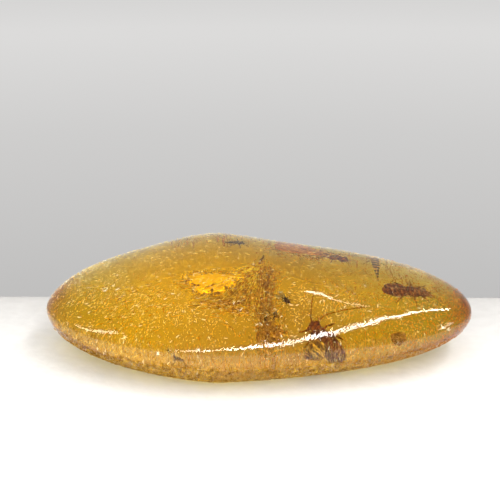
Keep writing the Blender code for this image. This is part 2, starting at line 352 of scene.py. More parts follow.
def skinUnit(chance):
    # a direction to the skin, drawn so that the places spread evenly over it
    reach = (copal["halfRight"], copal["halfWidth"], copal["crownAbove"])
    while True:
        unit = Vector([chance.gauss(0, 1) for _ in range(3)]).normalized()
        stretched = Vector([share / whole for share, whole in zip(unit, reach)])
        if chance.random() < stretched.length * copal["crownAbove"]:
            return unit


def makeCopal():
    bm = bmesh.new()
    around, along = copal["segments"]
    lengthways = Matrix.Rotation(pi / 2, 4, "Y")
    bmesh.ops.create_uvsphere(bm, u_segments=around, v_segments=along, radius=1.0, matrix=lengthways)
    soft = copal["footRound"]
    for vert in bm.verts:
        unit = vert.co.normalized()
        place = copalPoint(unit)
        place -= unit * abs(noise.noise(place / copal["dentSize"])) * copal["dents"]
        if place.z < soft:  # the worn flat, which the skin meets in a round edge
            place.z = soft * exp((place.z - soft) / soft)
        vert.co = place
    finishPiece("copal", bm, [copalMaterial()], "copal", "copal_upper", "copal_lower")


makeCopal()
print("copal made")


def addAbdomen(bm, tail, waist, width, height, rings, point):
    # overlapping rings from the tail to the waist, with point 1 for a straight taper and less for a round one
    step = (waist - tail) / rings
    for ring in range(rings):
        share = (ring + 0.7) / rings
        swell = share ** point * (1 - 0.25 * share ** 6)
        addEgg(bm, (tail + step * (ring + 0.5), 0, 0), (step * 0.85, width * swell, height * swell), 20, 8)


def jointedLeg(hip, spread, side, reach, radius):
    # thigh, knee, shin and a beaded foot with a claw, as a route of points
    along = Vector((cos(radians(spread)), side * sin(radians(spread)), 0))
    up = Vector((0, 0, 1))
    joints = (
        (-0.05, 0.0, 1.2), (0.04, 0.02, 1.5), (0.16, 0.08, 1.6), (0.32, 0.15, 1.0), (0.38, 0.16, 1.2),
        (0.42, 0.14, 0.7), (0.56, 0.07, 0.85), (0.7, 0.01, 0.6), (0.74, 0.0, 0.9), (0.77, 0.0, 0.45),
        (0.82, -0.02, 0.6), (0.85, -0.03, 0.35), (0.9, -0.04, 0.55), (0.93, -0.05, 0.3), (1.0, -0.08, 0.4),
    )
    return [(*(hip + (along * out + up * rise) * reach), radius * share) for out, rise, share in joints]


def addLegs(bm, hipX, step, width, reach, radius):
    # three pairs, the hind ones longest, with spines along each shin
    routes = []
    for side in (1, -1):
        for pair, spread in enumerate((42, 88, 138)):
            hip = Vector((hipX - pair * step, side * width * 0.5, 0))
            route = jointedLeg(hip, spread, side, reach * (0.85 + 0.15 * pair), radius)
            routes.append(route)
            for joint in route[4:9]:
                root = Vector(joint[:3])
                tip = root + Vector((0.16, side * 0.1, -0.22)) * reach / 2.6
                routes.append([(*root, 0.03), (*tip, 0.012)])
    addThreads(bm, routes)


def addFeelers(bm, routes, beads):
    # beaded feelers: each route is a few points that the beads follow
    threads = []
    for route in routes:
        thread = []
        for point, nextPoint in zip(route, route[1:]):
            for bead in range(beads):
                for share, fat in ((bead / beads, 0.75), ((bead + 0.5) / beads, 1.1)):
                    x, y, z, radius = [a + (b - a) * share for a, b in zip(point, nextPoint)]
                    thread.append((x, y, z, fat * radius))
        threads.append(thread + [route[-1]])
    addThreads(bm, threads)


def pairOfFeelers(headX, length, spread, radius):
    routes = []
    for side in (1, -1):
        turn = radians(spread * side)
        routes.append([(headX + cos(turn) * share * length, sin(turn) * share * length * (0.6 + 0.6 * share),
                        0.1 * share, radius * (1.3 - 0.6 * share)) for share in (0, 0.4, 0.75, 1)])
    return routes


def addHead(bm, place, size):
    # the head with two eyes, a pair of jaws and palps under it
    addEgg(bm, place, size)
    x, _, z = place
    length, width, height = size
    for side in (1, -1):
        addEgg(bm, (x + 0.2 * length, side * width * 0.78, z + 0.25 * height),
               (length * 0.42, width * 0.34, height * 0.5), 14, 10)
        jaw = ((0.7, 0.3, 0.4, 0.14), (1.15, 0.28, 0.6, 0.1), (1.3, 0.06, 0.6, 0.03))
        palp = ((0.5, 0.4, 0.6, 0.07), (1.2, 0.7, 0.9, 0.05))
        addThreads(bm, [[(x + length * ahead, side * width * out, z - height * down, radius * width)
                         for ahead, out, down, radius in route] for route in (jaw, palp)])


def addWing(bm, root, heading, length, width, lift, veins):
    # a thin bowed blade with veins along it and between them, finished in the second material
    turned = Matrix.Rotation(radians(heading), 4, "Z") @ Matrix.Rotation(-radians(lift), 4, "Y")
    turned = Matrix.Translation(root) @ turned

    def onWing(along, across):
        edge = 0.25 + 0.75 * sin(pi * min(1, along * 0.62 + 0.02)) ** 0.8
        edge *= 1 - max(0, along - 0.75) ** 2 * 9
        bow = 0.12 * width * sin(pi * along) + 0.05
        return turned @ Vector((along * length, across * edge * width / 2, bow))

    blade = bmesh.ops.create_grid(bm, x_segments=18, y_segments=6, size=1.0)
    for vert in blade["verts"]:
        vert.co = onWing((vert.co.x + 1) / 2, vert.co.y)
    faces = list({face for vert in blade["verts"] for face in vert.link_faces})
    walls = bmesh.ops.solidify(bm, geom=faces, thickness=0.03)
    for face in faces + [made for made in walls["geom"] if isinstance(made, bmesh.types.BMFace)]:
        face.material_index = 1
    routes = []
    for vein in range(veins):
        across = -0.95 + 1.9 * vein / (veins - 1)
        routes.append([(*onWing(step / 8, across * (0.35 + 0.65 * step / 8)), 0.035 - 0.002 * step)
                       for step in range(9)])
    for cross in range(1, 6):
        start = -0.9 + 0.3 * (cross % 3)
        routes.append([(*onWing(cross / 6.5, start), 0.02), (*onWing(cross / 6.5 + 0.04, start + 0.5), 0.02)])
    addThreads(bm, routes)


def addBristles(bm, count, length, chance):
    # short hairs that stand off the body
    bm.verts.ensure_lookup_table()
    bm.normal_update()
    routes = []
    for vert in chance.sample(bm.verts[:], count):
        lean = vert.normal + Vector((-0.8, 0, 0.2))
        tip = vert.co + lean.normalized() * length * chance.uniform(0.6, 1.2)
        routes.append([(*vert.co, 0.018), (*tip, 0.006)])
    addThreads(bm, routes, 0)


wingFilm = [(0.3, (0.35, 0.2, 0.1)), (0.6, (0.7, 0.52, 0.33)), (0.8, (0.9, 0.78, 0.58))]
brownWing = [(0.4, (0.08, 0.03, 0.008)), (0.5, (0.35, 0.15, 0.03)), (0.6, (1.0, 0.65, 0.15))]
redWing = [(0.3, (0.25, 0.06, 0.02)), (0.5, (0.6, 0.22, 0.08)), (0.7, (0.95, 0.6, 0.32))]


def makeInsect(name, body, tones, slotName, film=wingFilm):
    chance = Random(body["seed"])
    bm = bmesh.new()
    addAbdomen(bm, *body["abdomen"])
    addEgg(bm, *body["thorax"])
    addBristles(bm, 40, body["bristle"], chance)
    addHead(bm, *body["head"])
    addLegs(bm, *body["legs"])
    addFeelers(bm, body["feelers"], body["beads"])
    for wing in body.get("wings", []):
        addWing(bm, *wing)
    if "covers" in body:
        addCovers(bm, *body["covers"])
    if "sting" in body:
        addThreads(bm, [body["sting"]])
    seat(bm, body["node"], body["heading"], body.get("shift", (0, 0, 0)))
    materials = [cuticle(name + "Cuticle", body, *tones)]
    if "wings" in body:
        materials.append(streaked(name + "Wings", film, 0.3, body, (2, 0.4, 0.4)))
    finishPiece(name, bm, materials, slotName, body["node"])


def addCovers(bm, start, end, width, height, grooves):
    # a pair of hard wing covers, each with grooves along it, parted by a seam
    seam = 0.02
    for side in (1, -1):
        middle = Vector(((start + end) / 2, side * width * 0.36, height * 0.28))
        for vert in addEgg(bm, middle, ((start - end) / 2, width * 0.66, height), 36, 16):
            around = atan((vert.co.z - height * 0.28) / max(1e-3, abs(vert.co.y - side * width * 0.36)))
            if vert.co.z > 0:
                vert.co.z += 0.04 * sin(grooves * around)
            if vert.co.y * side < seam:
                vert.co.y = seam * side


# the numbers of each part of an insect stand in the order of the function that makes it
longHorn = {
    "node": "long_horned_insect", "heading": 132, "shift": (0.9, 0, 0), "seed": 3, "ringLength": 0.4,
    "banding": 0.08, "bristle": 0.35, "beads": 5, "abdomen": (-5.4, -0.4, 1.6, 1.2, 12, 0.2),
    "thorax": ((0.2, 0, 0.1), (1.25, 1.1, 1.0)), "head": ((1.7, 0, 0), (0.95, 1.05, 0.9)),
    "legs": (1.0, 0.7, 1.0, 3.0, 0.15),
    "feelers": [
        [(1.9, 0, 0.1, 0.11), (3.4, -0.8, 0.3, 0.09), (5.8, -3.4, 0.2, 0.08), (8.0, -6.4, 0, 0.06)],
        [(1.9, -0.3, 0.1, 0.11), (2.2, -3.0, 0.3, 0.09), (1.2, -6.2, 0.1, 0.08), (-0.6, -10.0, 0, 0.06)],
    ],
    "wings": [((0.0, 0.5, 0.3), 137, 6.0, 2.3, 4, 8), ((-0.2, 0.9, 0.1), 124, 6.0, 2.3, 8, 8)],
}
bandedFly = {
    "node": "banded_fly", "heading": 88, "seed": 5, "ringLength": 1.05, "banding": 0.75, "bristle": 0.3,
    "beads": 4, "abdomen": (-4.7, 1.6, 0.95, 0.8, 6, 0.9), "thorax": ((2.2, 0, 0.1), (1.0, 0.85, 0.8)),
    "head": ((3.4, 0, 0), (0.6, 0.7, 0.6)), "legs": (2.8, 0.5, 0.8, 2.6, 0.11),
    "sting": [(-4.2, 0, 0, 0.2), (-5, 0, 0, 0.13), (-5.6, 0, 0, 0.05)],
    "feelers": pairOfFeelers(3.6, 1.5, 25, 0.08),
}
wingedTermite = {
    "node": "winged_termite", "heading": -26, "seed": 7, "ringLength": 0.6, "bristle": 0.25, "beads": 6,
    "abdomen": (-4.2, 0.0, 1.25, 1.0, 9, 0.3), "thorax": ((0.6, 0, 0), (1.3, 1.2, 1.0)),
    "head": ((2.1, 0, 0), (1.0, 1.0, 0.85)), "legs": (1.5, 0.8, 0.9, 2.4, 0.13),
    "feelers": pairOfFeelers(2.6, 1.8, 30, 0.09),
    "wings": [((0.6, 0.35 * n - 0.5, 0.28 * n - 0.4), heading, 12.4 - 0.4 * n, 3.1, 1.5 * n - 2, 7)
              for n, heading in enumerate((168, 177, 190, 199))],
}
gnat = {
    "node": "gnat", "heading": 8, "seed": 9, "ringLength": 0.3, "bristle": 0.14, "beads": 4,
    "abdomen": (-2.0, 0.0, 0.5, 0.42, 7, 0.35), "thorax": ((0.35, 0, 0.05), (0.6, 0.55, 0.5)),
    "head": ((1.0, 0, 0), (0.34, 0.36, 0.34)), "legs": (0.7, 0.35, 0.4, 2.0, 0.09),
    "feelers": pairOfFeelers(1.2, 0.8, 30, 0.04),
    "wings": [((0.4, 0.15, 0.2), 150, 2.1, 0.8, 3, 5), ((0.4, -0.15, 0.2), 210, 2.1, 0.8, 3, 5)],
}
smallFly = {
    "ringLength": 0.25, "bristle": 0.12, "beads": 3,
    "abdomen": (-1.3, 0.1, 0.48, 0.43, 6, 0.35), "thorax": ((0.3, 0, 0.05), (0.46, 0.44, 0.44)),
    "head": ((0.85, 0, 0), (0.32, 0.4, 0.34)), "legs": (0.55, 0.28, 0.4, 1.2, 0.08),
    "feelers": pairOfFeelers(1.0, 0.5, 30, 0.035),
}


def foldedWings(spread):
    return [((0.3, side * 0.15, 0.25), 180 - side * spread, 1.9, 0.8, 6, 5) for side in (1, -1)]


flyRight = {**smallFly, "node": "small_fly_right", "heading": -40, "seed": 11, "wings": foldedWings(18)}
flyLeft = {**smallFly, "node": "small_fly_left", "heading": 24, "seed": 13, "wings": foldedWings(38)}
beetle = {
    "node": "beetle", "heading": 4, "seed": 15, "ringLength": 0.8, "bristle": 0.3, "beads": 5,
    "abdomen": (-4.6, -0.6, 1.45, 1.25, 7, 0.3), "thorax": ((0.5, 0, 0.1), (1.5, 1.25, 1.15)),
    "head": ((2.4, 0, 0), (1.0, 1.0, 0.85)), "legs": (1.4, 0.9, 1.2, 2.9, 0.17),
    "feelers": pairOfFeelers(3.0, 1.7, 34, 0.11), "covers": (-0.4, -4.5, 1.45, 1.2, 11),
}

darkTones = ((0.008, 0.004, 0.002), (0.04, 0.015, 0.006), (0.2, 0.09, 0.035))
redTones = ((0.03, 0.008, 0.003), (0.16, 0.035, 0.01), (0.6, 0.22, 0.07))
bandedTones = ((0.01, 0.005, 0.003), (0.04, 0.018, 0.01), (0.75, 0.5, 0.25))
makeInsect("longHornedInsect", longHorn, redTones, "red_cuticle", brownWing)
makeInsect("bandedFly", bandedFly, bandedTones, "dark_cuticle")
makeInsect("wingedTermite", wingedTermite, redTones, "red_cuticle", redWing)
makeInsect("darkGnat", gnat, darkTones, "dark_cuticle")
makeInsect("smallFlyRight", flyRight, darkTones, "dark_cuticle")
makeInsect("smallFlyLeft", flyLeft, darkTones, "dark_cuticle")
makeInsect("brownBeetle", beetle, redTones, "red_cuticle")
print("insects made")


def finishScrap(name, bm, scrap, material, slotName):
    # seats a scrap on the bed, in place of its own solid
    seat(bm, scrap["node"], scrap["heading"])
    finishPiece(name, bm, [material], slotName, scrap["node"])


legPair = {
    "node": "leg_pair", "heading": -60, "ringLength": 0.5,
    # a long leg, a short one and a stump
    "legs": [
        [(0, 0, 0, 0.13), (0.6, 0.42, 0.08, 0.15), (1.2, 0.7, 0.1, 0.09), (1.3, 0.7, 0.1, 0.12),
         (2.0, 0.62, 0.05, 0.08), (2.6, 0.5, 0, 0.06), (2.7, 0.5, 0, 0.09), (3.1, 0.7, 0, 0.06),
         (3.6, 1.0, 0, 0.06)],
        [(0, 0, 0, 0.13), (0.5, -0.4, 0, 0.14), (1.0, -0.7, 0.1, 0.08), (1.1, -0.8, 0.1, 0.11),
         (1.3, -1.3, 0.05, 0.07), (1.5, -1.8, 0, 0.06)],
        [(0, 0, 0, 0.13), (-0.7, 0.1, 0, 0.14), (-1.4, 0.2, 0, 0.09), (-1.5, 0.16, 0, 0.1),
         (-2.2, -0.4, 0, 0.06)],
    ],
}


def makeLegPair():
    bm = bmesh.new()
    addEgg(bm, (0, 0, 0), (0.28, 0.22, 0.22))
    addEgg(bm, (0.22, 0.05, 0.02), (0.18, 0.18, 0.16))
    spines = [[(x, y, z, 0.03), (x + 0.12, y - 0.22, z + 0.1, 0.01)]
              for leg in legPair["legs"] for x, y, z, _ in leg[2:]]
    addThreads(bm, legPair["legs"] + spines, 2)
    finishScrap("legPair", bm, legPair, cuticle("legPairCuticle", legPair, *darkTones), "dark_cuticle")


twig = {"node": "twig_sliver", "heading": 72, "length": 4.1, "radius": 0.16, "seed": 19}


def makeTwig():
    chance = Random(twig["seed"])
    bm = bmesh.new()
    steps = 16
    grain = [((step / steps - 0.5) * twig["length"], 0.05 * sin(step * 0.9), 0,
              twig["radius"] * (1.15 - abs(step - 8) * 0.05) * chance.uniform(0.85, 1.15))
             for step in range(steps + 1)]
    splinters = [[(x, y, 0.1, 0.05), (x + 0.5, y + chance.uniform(-0.3, 0.3), 0.15, 0.015)]
                 for x, y, _, _ in grain[2:13:3]]
    addThreads(bm, [grain, *splinters], 2)
    addEgg(bm, (0.1, 0.05, 0), (0.45, 0.26, 0.26))
    stops = [(0.3, (0.03, 0.014, 0.008)), (0.55, (0.13, 0.06, 0.03)), (0.75, (0.3, 0.16, 0.08))]
    material = streaked("twigBark", stops, 0.7, twig, (1.4, 0.15, 0.15), 0.05)
    finishScrap("twigSliver", bm, twig, material, "dark_cuticle")


frassPellet = {"node": "frass_pellet", "heading": 12, "size": (1.2, 0.7, 0.65), "grooves": 5}


def makePellet():
    # a lump with layered ridges and a broken outline
    size, grooves = frassPellet["size"], frassPellet["grooves"]
    bm = bmesh.new()
    bmesh.ops.create_icosphere(bm, subdivisions=5, radius=1.0)
    for vert in bm.verts:
        x, y, z = vert.co
        uneven = 1 + 0.12 * sin(grooves * x + 2 * y) * cos(grooves * y - z)
        uneven += 0.16 * noise.fractal(vert.co * 2.6, 1.0, 2.0, 4)
        uneven += 0.04 * sin(22 * z + 3 * noise.noise(vert.co * 3))
        vert.co = Vector((x * size[0], y * size[1], z * size[2])) * uneven
    stops = [(0.3, (0.14, 0.06, 0.012)), (0.5, (0.3, 0.14, 0.03)), (0.7, (0.5, 0.27, 0.07))]
    material = streaked("frassPelletBark", stops, 0.75, frassPellet, (0.9, 0.35, 0.25), 0.06)
    finishScrap("frassPellet", bm, frassPellet, material, "bark")


barkBack = {
    "node": "bark_flake_back", "heading": 10, "size": (1.0, 1.9, 0.8), "strands": 240, "lumps": 50,
    "lie": (84, 38),  # how the fibres lie on average, and how much that varies
    "tones": [
        (0.3, (0.1, 0.035, 0.008)), (0.45, (0.36, 0.15, 0.035)), (0.6, (0.7, 0.36, 0.1)),
        (0.75, (1.0, 0.7, 0.3)),
    ],
}
barkFront = {
    **barkBack, "node": "bark_flake_front", "heading": -16, "size": (2.3, 1.6, 0.7), "strands": 320,
    "lumps": 60,
}


def makeTuft(name, tuft):
    # torn bark: short fibres that lie mostly one way, with crumbs caught among them
    chance = Random(name)
    bm = bmesh.new()
    routes = []
    for _ in range(tuft["strands"]):
        middle = Vector([chance.gauss(0, 0.42) * side for side in tuft["size"]])
        lean, length = radians(chance.gauss(*tuft["lie"])), chance.uniform(0.5, 1.5)
        ahead = Vector((cos(lean), sin(lean), chance.uniform(-0.4, 0.4))) * length / 2
        bend = Vector([chance.uniform(-0.15, 0.15) for _ in range(3)])
        routes.append([(*(middle + ahead * share + bend * (1 - abs(share))), radius)
                       for share, radius in ((-1, 0.02), (0, chance.uniform(0.03, 0.07)), (1, 0.02))])
    addThreads(bm, routes, 0)
    spots = [(Vector([chance.gauss(0, 0.4) * side for side in tuft["size"]]), chance.uniform(0.12, 0.42))
             for _ in range(tuft["lumps"])]
    addLumps(bm, spots, 0.3, chance)
    material = streaked(name + "Bark", tuft["tones"], 0.7, tuft, (0.5, 0.5, 0.3), 0.04)
    finishScrap(name, bm, tuft, material, "bark")


leafShred = {
    "node": "leaf_shred", "heading": 4, "length": 3.9, "width": 2.0, "bend": 0.25, "seed": 21,
    "strands": 120,
}


def makeLeafShred():
    # a torn brown scrap whose veins run along it and stick out at its ends
    chance = Random(leafShred["seed"])
    length, width, rise = leafShred["length"], leafShred["width"], leafShred["bend"]
    bm = bmesh.new()
    bmesh.ops.create_grid(bm, x_segments=70, y_segments=36, size=1.0)
    for vert in bm.verts:
        x, y = vert.co.xy
        torn = (1 + 0.17 * sin(9 * x + 4 * y)) * (1 - 0.12 * (x * x + y * y - x * x * y * y))
        above = rise * sin(2.2 * x) + 0.06 * sin(26 * y + 3 * x)
        vert.co = Vector((x * length * torn, y * width * torn, above))
    gone = []
    for vert in bm.verts:
        outward = (vert.co.x / length) ** 2 + (vert.co.y / width) ** 2
        hole = noise.noise(vert.co * 1.1 + Vector((5, 0, 0))) > -0.3
        if hole or outward > 0.75 + 0.5 * noise.noise(vert.co * 1.3):
            gone.append(vert)
    bmesh.ops.delete(bm, geom=gone, context="VERTS")
    bmesh.ops.solidify(bm, geom=bm.faces[:], thickness=0.06)
    strands = []
    for _ in range(leafShred["strands"]):
        across, start = chance.uniform(-1, 1), chance.uniform(-1.05, 0.4)
        reach, bend = chance.uniform(0.5, 1.2), chance.uniform(-0.3, 0.3)
        strand = []
        for step in range(7):
            along = start + reach * step / 6
            sway = across + bend * sin(1.5 * step / 6) + 0.12 * sin(step + 9 * across)
            above = rise * sin(2.2 * along) + chance.uniform(-0.1, 0.25)
            strand.append((along * length, sway * width * 0.8, above, chance.uniform(0.02, 0.045)))
        strands.append(strand)
    addThreads(bm, strands, 0)
    stops = [(0.34, (0.3, 0.16, 0.025)), (0.48, (0.65, 0.42, 0.1)), (0.62, (1.0, 0.85, 0.4))]
    material = streaked("tornLeaf", stops, 0.7, leafShred, (1.6, 0.25, 0.25), 0.04)
    finishScrap("leafShred", bm, leafShred, material, "dry_leaf")


makeLegPair()
makeTwig()
makePellet()
makeTuft("barkFlakeBack", barkBack)
makeTuft("barkFlakeFront", barkFront)
makeLeafShred()
print("loose scraps made")


crumbs = {
    "seed": 31,
    # (x, y, half width, half depth, how many, largest size) of each cluster along the bed
    "clusters": [
        (0.5, 0.6, 1.8, 1.6, 80, 0.26), (0.2, -2.6, 1.6, 2.0, 110, 0.22), (0.6, -6.2, 1.5, 2.2, 150, 0.22),
        (1.0, -10.4, 1.8, 2.2, 170, 0.24), (1.5, -15.0, 1.8, 2.4, 130, 0.26),
        (25.5, -1.4, 4.6, 1.6, 90, 0.3), (31.0, -2.0, 3.0, 2.4, 60, 0.25), (16.0, -2.5, 6.0, 2.4, 60, 0.22),
        (8.0, 7.5, 8.0, 2.0, 110, 0.28), (-22.0, -10.0, 8.0, 4.5, 60, 0.2), (9.5, 7.0, 5.0, 1.4, 170, 0.32),
    ],
    "thick": 1.0, "below": 0.8, "scattered": 260, "scatteredSize": (0.04, 0.16), "rough": 0.28,
}


def makeCrumbs():
    chance = Random(crumbs["seed"])
    spots = []
    for x, y, halfX, halfY, count, size in crumbs["clusters"]:
        for _ in range(count):
            atX, atY = chance.gauss(x, halfX * 0.55), chance.gauss(y, halfY * 0.55)
            above = bedHeight(atY) - crumbs["below"] + chance.gauss(0, crumbs["thick"])
            spots.append((Vector((atX, atY, above)), size * chance.uniform(0.2, 1) ** 1.6))
    for _ in range(crumbs["scattered"]):
        place = copalPoint(skinUnit(chance), chance.uniform(1, 7) * mm) / mm
        spots.append((place, chance.uniform(*crumbs["scatteredSize"])))
    spots = [(place, size) for place, size in spots if insideCopal(place, 0.6)]
    bm = bmesh.new()
    addLumps(bm, spots, crumbs["rough"], chance)
    stops = [
        (0.3, (0.12, 0.05, 0.01)), (0.45, (0.42, 0.19, 0.04)), (0.58, (0.8, 0.45, 0.12)),
        (0.7, (1.0, 0.85, 0.45)),
    ]
    finishLoose("crumbs", bm, speckled("brownCrumbs", stops, 0.5, patternSpace, 2.2, 0.03), "bark")
    return len(spots)


print("crumbs made:", makeCrumbs())


fibres = {
    "seed": 41,
    # (x, y, half width, half depth, heading, spread of heading, how many, length, radius) of each bundle
    "bundles": [
        (0.5, -1.0, 2.0, 3.0, 70, 70, 110, 3.0, 0.05), (0.8, -9.5, 1.8, 7.0, 84, 35, 340, 3.2, 0.04),
        (-10.5, -2.4, 3.6, 1.2, -24, 22, 90, 4.4, 0.05), (-6.0, -7.2, 4.2, 1.2, 8, 16, 150, 4.6, 0.05),
        (-2.0, -3.4, 1.4, 1.8, 240, 22, 40, 5.0, 0.045), (25.5, -1.4, 4.6, 1.8, 10, 60, 70, 3.0, 0.06),
        (31.0, -3.0, 2.6, 3.0, 30, 80, 30, 2.2, 0.05), (7.0, 8.4, 8.0, 1.6, -14, 25, 200, 4.0, 0.06),
        (16.0, 2.0, 8.0, 3.0, -8, 40, 50, 3.6, 0.045), (12.0, -6.0, 8.0, 5.0, 60, 90, 40, 2.4, 0.04),
        (-22.0, -7.0, 9.0, 7.0, 35, 40, 120, 1.6, 0.05),
    ],
    "curl": 26,
}
fan = {
    "seed": 43, "root": (0.0, 1.0), "above": 1.9, "count": 50, "headings": (216, 262),
    "length": (6.0, 15.0), "curl": 9, "radius": 0.075,
}


def makeFibres():
    chance = Random(fibres["seed"])
    routes = []
    for x, y, halfX, halfY, heading, spread, count, length, radius in fibres["bundles"]:
        for _ in range(count):
            start = (chance.gauss(x, halfX * 0.5), chance.gauss(y, halfY * 0.5), chance.gauss(0, 0.8))
            lie, reach = heading + chance.uniform(-spread, spread), length * chance.uniform(0.4, 1.2)
            fat = radius * chance.uniform(0.6, 1.3)
            routes.append(wander(chance, start, lie, reach, fibres["curl"], fat, 6))
    bm = bmesh.new()
    addThreads(bm, sealed(routes), 0)
    stops = [(0.35, (0.12, 0.04, 0.006)), (0.48, (0.42, 0.18, 0.03)), (0.62, (0.95, 0.62, 0.2))]
    finishLoose("plantFibres", bm, speckled("fibreBrown", stops, 0.6, patternSpace, 1.5), "dry_leaf")


def makeHairFan():
    # fine pale hairs that spread from one root to the front and left
    chance = Random(fan["seed"])
    routes = []
    for _ in range(fan["count"]):
        heading = chance.uniform(*fan["headings"])
        x, y = fan["root"]
        start = (x + chance.gauss(0, 0.7), y + chance.gauss(0, 0.9), chance.gauss(fan["above"], 0.4))
        length, fat = chance.uniform(*fan["length"]), fan["radius"] * chance.uniform(0.6, 1.2)
        routes.append(wander(chance, start, heading, length, fan["curl"], fat, 7, 0.2))
    bm = bmesh.new()
    addThreads(bm, sealed(routes), 0)
    stops = [
        (0.4, (0.3, 0.1, 0.01)), (0.48, (0.75, 0.4, 0.08)), (0.54, (1.0, 0.85, 0.35)),
        (0.7, (1.0, 0.95, 0.65)),
    ]
    finishLoose("hairFan", bm, speckled("strawHairs", stops, 0.35, patternSpace, 1.2), "dry_leaf")


makeFibres()
makeHairFan()
print("threads made")


# pale slivers: scuffs and crazing in the polish, their pale gold tones partly painted glints of light on it
glints = {
    "name": "glints", "seed": 51, "count": 15500,
    "depth": (-0.02, 0.06), "length": (0.05, 0.42), "radius": (0.01, 0.028),
    "across": (-40, 31), "deep": (-30, 30), "up": (4.0, 15),  # left to right, front to back, above the table
    "gathered": 0,  # they grow denser to the right over this distance, or lie evenly at 0
    "heading": 45, "spread": 40, "wilder": 60, "leftEnd": 26,  # nearly one way at the left end, wilder inward
    "rim": 0.2, "upright": 0.7, "uprightHeading": (90, 12), "uprightOnly": False,  # most stand up on the rim
    "tones": [(0.42, (0.7, 0.45, 0.08)), (0.52, (0.92, 0.75, 0.25)), (0.64, (1.0, 0.95, 0.6))],
    "redTone": (0.95, 0.55, 0.22), "reddening": (12.0, 38.0), "roughness": 0.25,
}
# the same on the crown, their pale tones likewise partly painted glints
topGlints = {
    **glints, "name": "topGlints", "seed": 52, "count": 5500, "length": (0.1, 0.8), "radius": (0.01, 0.026),
    "across": (-36, 16), "up": (11.5, 19),
    "tones": [(0.4, (0.75, 0.55, 0.14)), (0.5, (0.92, 0.78, 0.28)), (0.64, (1.0, 0.95, 0.6))],
    "redTone": (0.9, 0.45, 0.15),
}
bronze = {
    **glints, "name": "bronze", "seed": 54, "count": 12000, "depth": (-0.03, 0.15), "length": (0.1, 0.8),
    "radius": (0.014, 0.04), "across": (-38, 30), "deep": (-30, -9), "up": (2.0, 8.5),
    "tones": [(0.35, (0.14, 0.065, 0.005)), (0.5, (0.32, 0.18, 0.02)), (0.65, (0.65, 0.45, 0.09))],
    "redTone": (0.5, 0.2, 0.04), "roughness": 0.4,
}
# near-white slivers that stand in for the larger sparkles: painted glints
sparks = {
    **glints, "name": "sparks", "seed": 59, "count": 900, "depth": (-0.04, 0.03), "length": (0.1, 0.7),
    "radius": (0.016, 0.05), "tones": [(0.4, (1.0, 0.93, 0.65)), (0.6, (1.0, 0.97, 0.85))],
    "redTone": (1.0, 0.85, 0.6), "roughness": 0.3,
}
# dark brown strokes on the lower rim: brown specks, and painted shade that dulls the rim's mirroring of the
# bright table
hem = {
    **glints, "name": "hem", "seed": 63, "count": 12500, "depth": (-0.04, 0.02), "length": (0.15, 1.1),
    "radius": (0.03, 0.08), "across": (-40, 40), "deep": (-30, 0), "up": (0.3, 5.5),
    "tones": [(0.38, (0.13, 0.055, 0.005)), (0.5, (0.28, 0.14, 0.015)), (0.62, (0.52, 0.32, 0.05))],
    "redTone": (0.42, 0.17, 0.03), "roughness": 0.5,
}
darkStrokes = {
    **glints, "name": "darkStrokes", "seed": 53, "count": 4500, "depth": (0.05, 1.0), "length": (0.08, 0.9),
    "radius": (0.014, 0.036), "across": (-36, 31),
    "tones": [(0.4, (0.1, 0.04, 0.01)), (0.6, (0.3, 0.14, 0.03))], "redTone": (0.2, 0.07, 0.02),
    "roughness": 0.5,
}
endStain = {
    **glints, "name": "endStain", "seed": 55, "count": 12000, "depth": (-0.01, 2.0), "length": (0.06, 0.4),
    "radius": (0.02, 0.08), "across": (12, 38), "gathered": 22,
    "tones": [(0.4, (0.35, 0.12, 0.02)), (0.6, (0.6, 0.25, 0.05))],
    "redTone": (0.5, 0.18, 0.04), "roughness": 0.5,
}
fringe = {
    **glints, "name": "fringe", "seed": 57, "count": 1600, "depth": (0.0, 0.6), "length": (0.6, 3.0),
    "radius": (0.015, 0.05), "across": (-14, 26), "up": (2.2, 19), "uprightOnly": True,
    "tones": [(0.4, (0.3, 0.12, 0.03)), (0.6, (0.55, 0.28, 0.08))],
    "redTone": (0.3, 0.1, 0.03), "roughness": 0.5,
}


def strokeFinish(kind):
    # mottled, and redder toward the right end
    material, tree, shader = newMaterial(kind["name"] + "Finish")
    space = patternSpace(tree)
    grain = noiseOf(tree, space, 1.4, 5.0, 0.3)
    rightward = rangeOf(tree, axisOf(tree, "X", space), *kind["reddening"])
    tones = {"Factor": rightward, "A": rampOf(tree, grain, kind["tones"]), "B": (*kind["redTone"], 1)}
    feed(tree, shader, {
        "Base Color": outputOf(tree, "Mix", "Result", tones, data_type="RGBA"),
        "Roughness": kind["roughness"], "Specular IOR Level": 0.1, "Normal": bumpOf(tree, grain, 0.01),
    })
    return material


